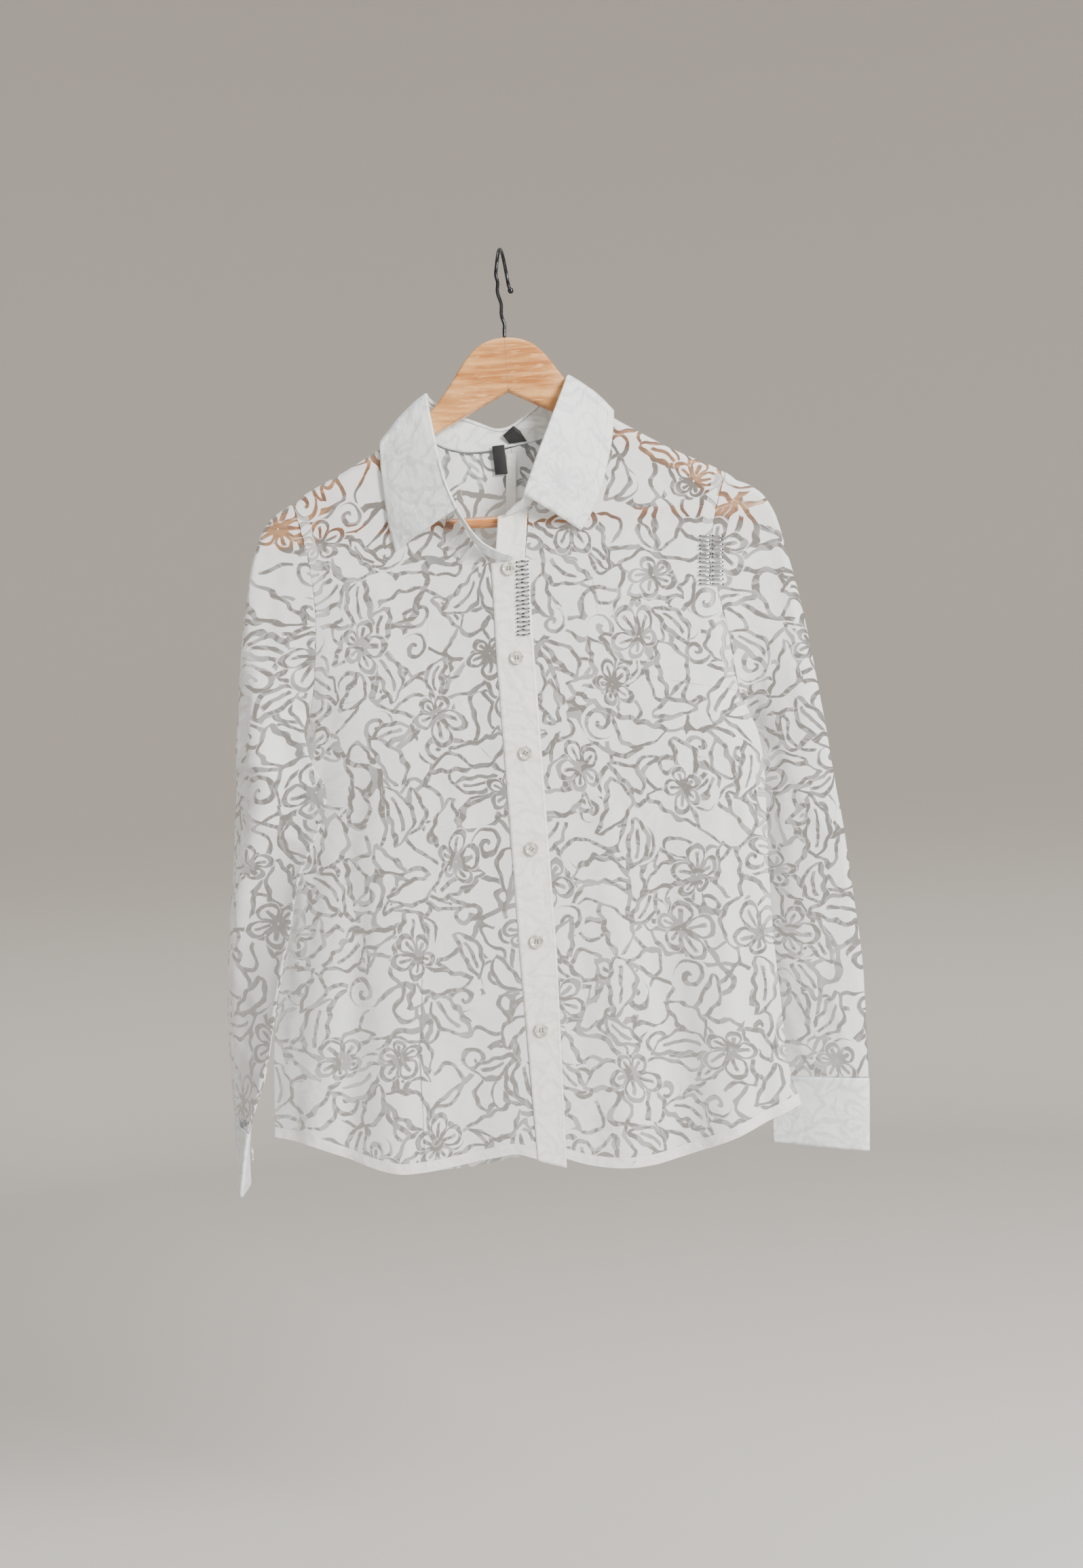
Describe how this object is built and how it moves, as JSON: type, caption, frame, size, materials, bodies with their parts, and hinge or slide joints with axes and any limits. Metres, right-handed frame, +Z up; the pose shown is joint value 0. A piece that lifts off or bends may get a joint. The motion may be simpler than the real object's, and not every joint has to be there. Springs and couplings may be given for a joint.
{
  "type": "sheer shirt on a hanger",
  "caption": "Long-sleeved button-front shirt of sheer burnout cloth with a pointed collar and deep cuffs, on a flat wooden hanger with a trouser bar and a wire hook.",
  "frame": {"origin": "inside crest of the hanger's hook, where a rail or rope holds it", "axes": "+Z up, +X to the right seen from the front (the wearer's left), the buttoned front faces -Y"},
  "size_m": [0.5547, 0.0838, 0.7947],
  "materials": {
    "sheer_cloth": "sheer burnout organza, white, with sheer outline flowers",
    "crisp_cloth": "crisp cool white cloth, doubled",
    "placket_cloth": "warm white cloth, doubled",
    "pearly_button": "pearly, polished",
    "black_label": "black satin ribbon, bare",
    "pale_wood": "clear satin varnish",
    "bar_wood": "glossy stain",
    "dark_steel": "dark gunmetal"
  },
  "bodies": {
    "root": {"front_right": "sheer_cloth", "front_left": "sheer_cloth", "back_right": "sheer_cloth", "back_left": "sheer_cloth", "back_seam": "crisp_cloth", "placket_over": "placket_cloth", "placket_under": "placket_cloth", "sleeve_right": "sheer_cloth", "sleeve_left": "sheer_cloth", "cuff_right": "crisp_cloth", "cuff_left": "crisp_cloth", "cuff_button_right": "pearly_button", "cuff_button_left": "pearly_button", "collar_stand": "crisp_cloth", "collar_fall": "crisp_cloth", "button_1": "pearly_button", "button_2": "pearly_button", "button_3": "pearly_button", "button_4": "pearly_button", "button_5": "pearly_button", "button_6": "pearly_button", "label_long": "black_label", "label_folded": "black_label", "hanger_arm_right": "pale_wood", "hanger_arm_left": "pale_wood", "hanger_bar": "bar_wood", "hanger_hook": "dark_steel"}
  },
  "joints": []
}
